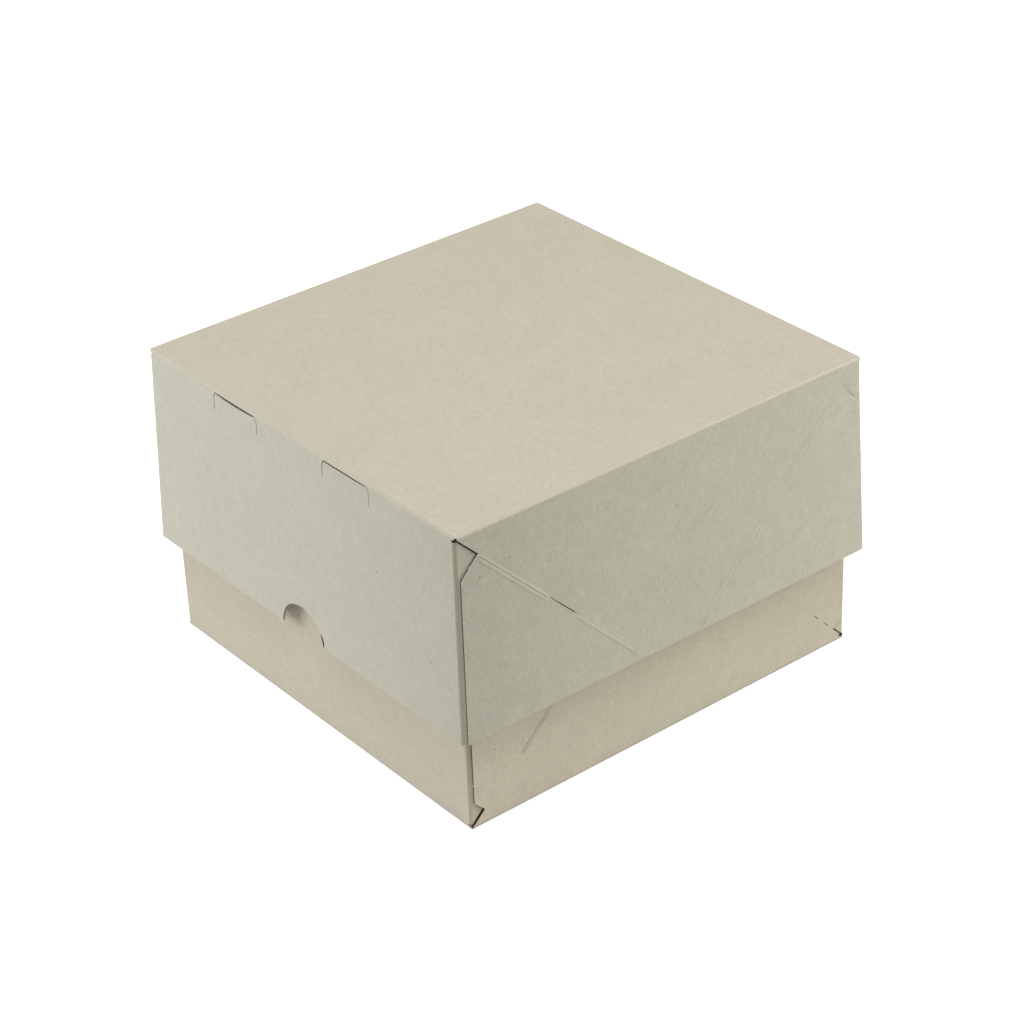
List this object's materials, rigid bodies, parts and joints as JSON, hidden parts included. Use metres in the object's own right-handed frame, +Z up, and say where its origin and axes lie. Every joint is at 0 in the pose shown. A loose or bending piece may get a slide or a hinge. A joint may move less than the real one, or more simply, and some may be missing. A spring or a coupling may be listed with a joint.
{
  "type": "lidded board box",
  "caption": "Square storage box folded from solid grey board: a plain base tray under a deep, flared lid tray with press tabs and thumb notches.",
  "frame": {"origin": "centre of the base's underside", "axes": "+Z up, X across the end walls that hold the press tabs and thumb notches, Y across the side walls that hold the diagonal creases"},
  "size_m": [0.2468, 0.2428, 0.1559],
  "materials": {
    "lid_top": "matte",
    "lid_wall": "matte",
    "base_board": "matte",
    "glue": "satin"
  },
  "bodies": {
    "base": {"base_panel": "base_board", "base_end_wall_left": "base_board", "base_end_wall_right": "base_board", "base_side_wall_front": "base_board", "base_side_wall_back": "base_board", "base_gusset_front_left": "base_board", "base_gusset_front_right": "base_board", "base_gusset_back_left": "base_board", "base_gusset_back_right": "base_board", "base_flap_front_left": "base_board", "base_flap_front_right": "base_board", "base_flap_back_left": "base_board", "base_flap_back_right": "base_board", "base_glue": "glue"},
    "lid": {"lid_panel": "lid_top", "lid_end_wall_left": "lid_wall", "lid_end_wall_right": "lid_wall", "lid_side_wall_front": "lid_wall", "lid_side_wall_back": "lid_wall", "lid_gusset_front_left": "lid_wall", "lid_gusset_front_right": "lid_wall", "lid_gusset_back_left": "lid_wall", "lid_gusset_back_right": "lid_wall", "lid_flap_front_left": "lid_wall", "lid_flap_front_right": "lid_wall", "lid_flap_back_left": "lid_wall", "lid_flap_back_right": "lid_wall", "lid_glue": "glue"},
    "tab_left_front": {"press_tab_left_front": "lid_wall"},
    "tab_left_back": {"press_tab_left_back": "lid_wall"},
    "tab_right_front": {"press_tab_right_front": "lid_wall"},
    "tab_right_back": {"press_tab_right_back": "lid_wall"}
  },
  "joints": [
    {"name": "lid_lift", "type": "slide", "parent": "base", "child": "lid", "axis": [0, 0, 1], "range_m": [0, 0.3]},
    {"name": "tab_bend_left_front", "type": "hinge", "parent": "lid", "child": "tab_left_front", "pos_m": [-0.11982, -0.03975, 0.14548], "axis": [0, 1, 0], "range_deg": [0, 13], "stiffness_Nm_per_rad": 0.02},
    {"name": "tab_bend_left_back", "type": "hinge", "parent": "lid", "child": "tab_left_back", "pos_m": [-0.11982, 0.04575, 0.14548], "axis": [0, 1, 0], "range_deg": [0, 13], "stiffness_Nm_per_rad": 0.02},
    {"name": "tab_bend_right_front", "type": "hinge", "parent": "lid", "child": "tab_right_front", "pos_m": [0.11982, -0.03975, 0.14548], "axis": [0, -1, 0], "range_deg": [0, 13], "stiffness_Nm_per_rad": 0.02},
    {"name": "tab_bend_right_back", "type": "hinge", "parent": "lid", "child": "tab_right_back", "pos_m": [0.11982, 0.04575, 0.14548], "axis": [0, -1, 0], "range_deg": [0, 13], "stiffness_Nm_per_rad": 0.02}
  ]
}
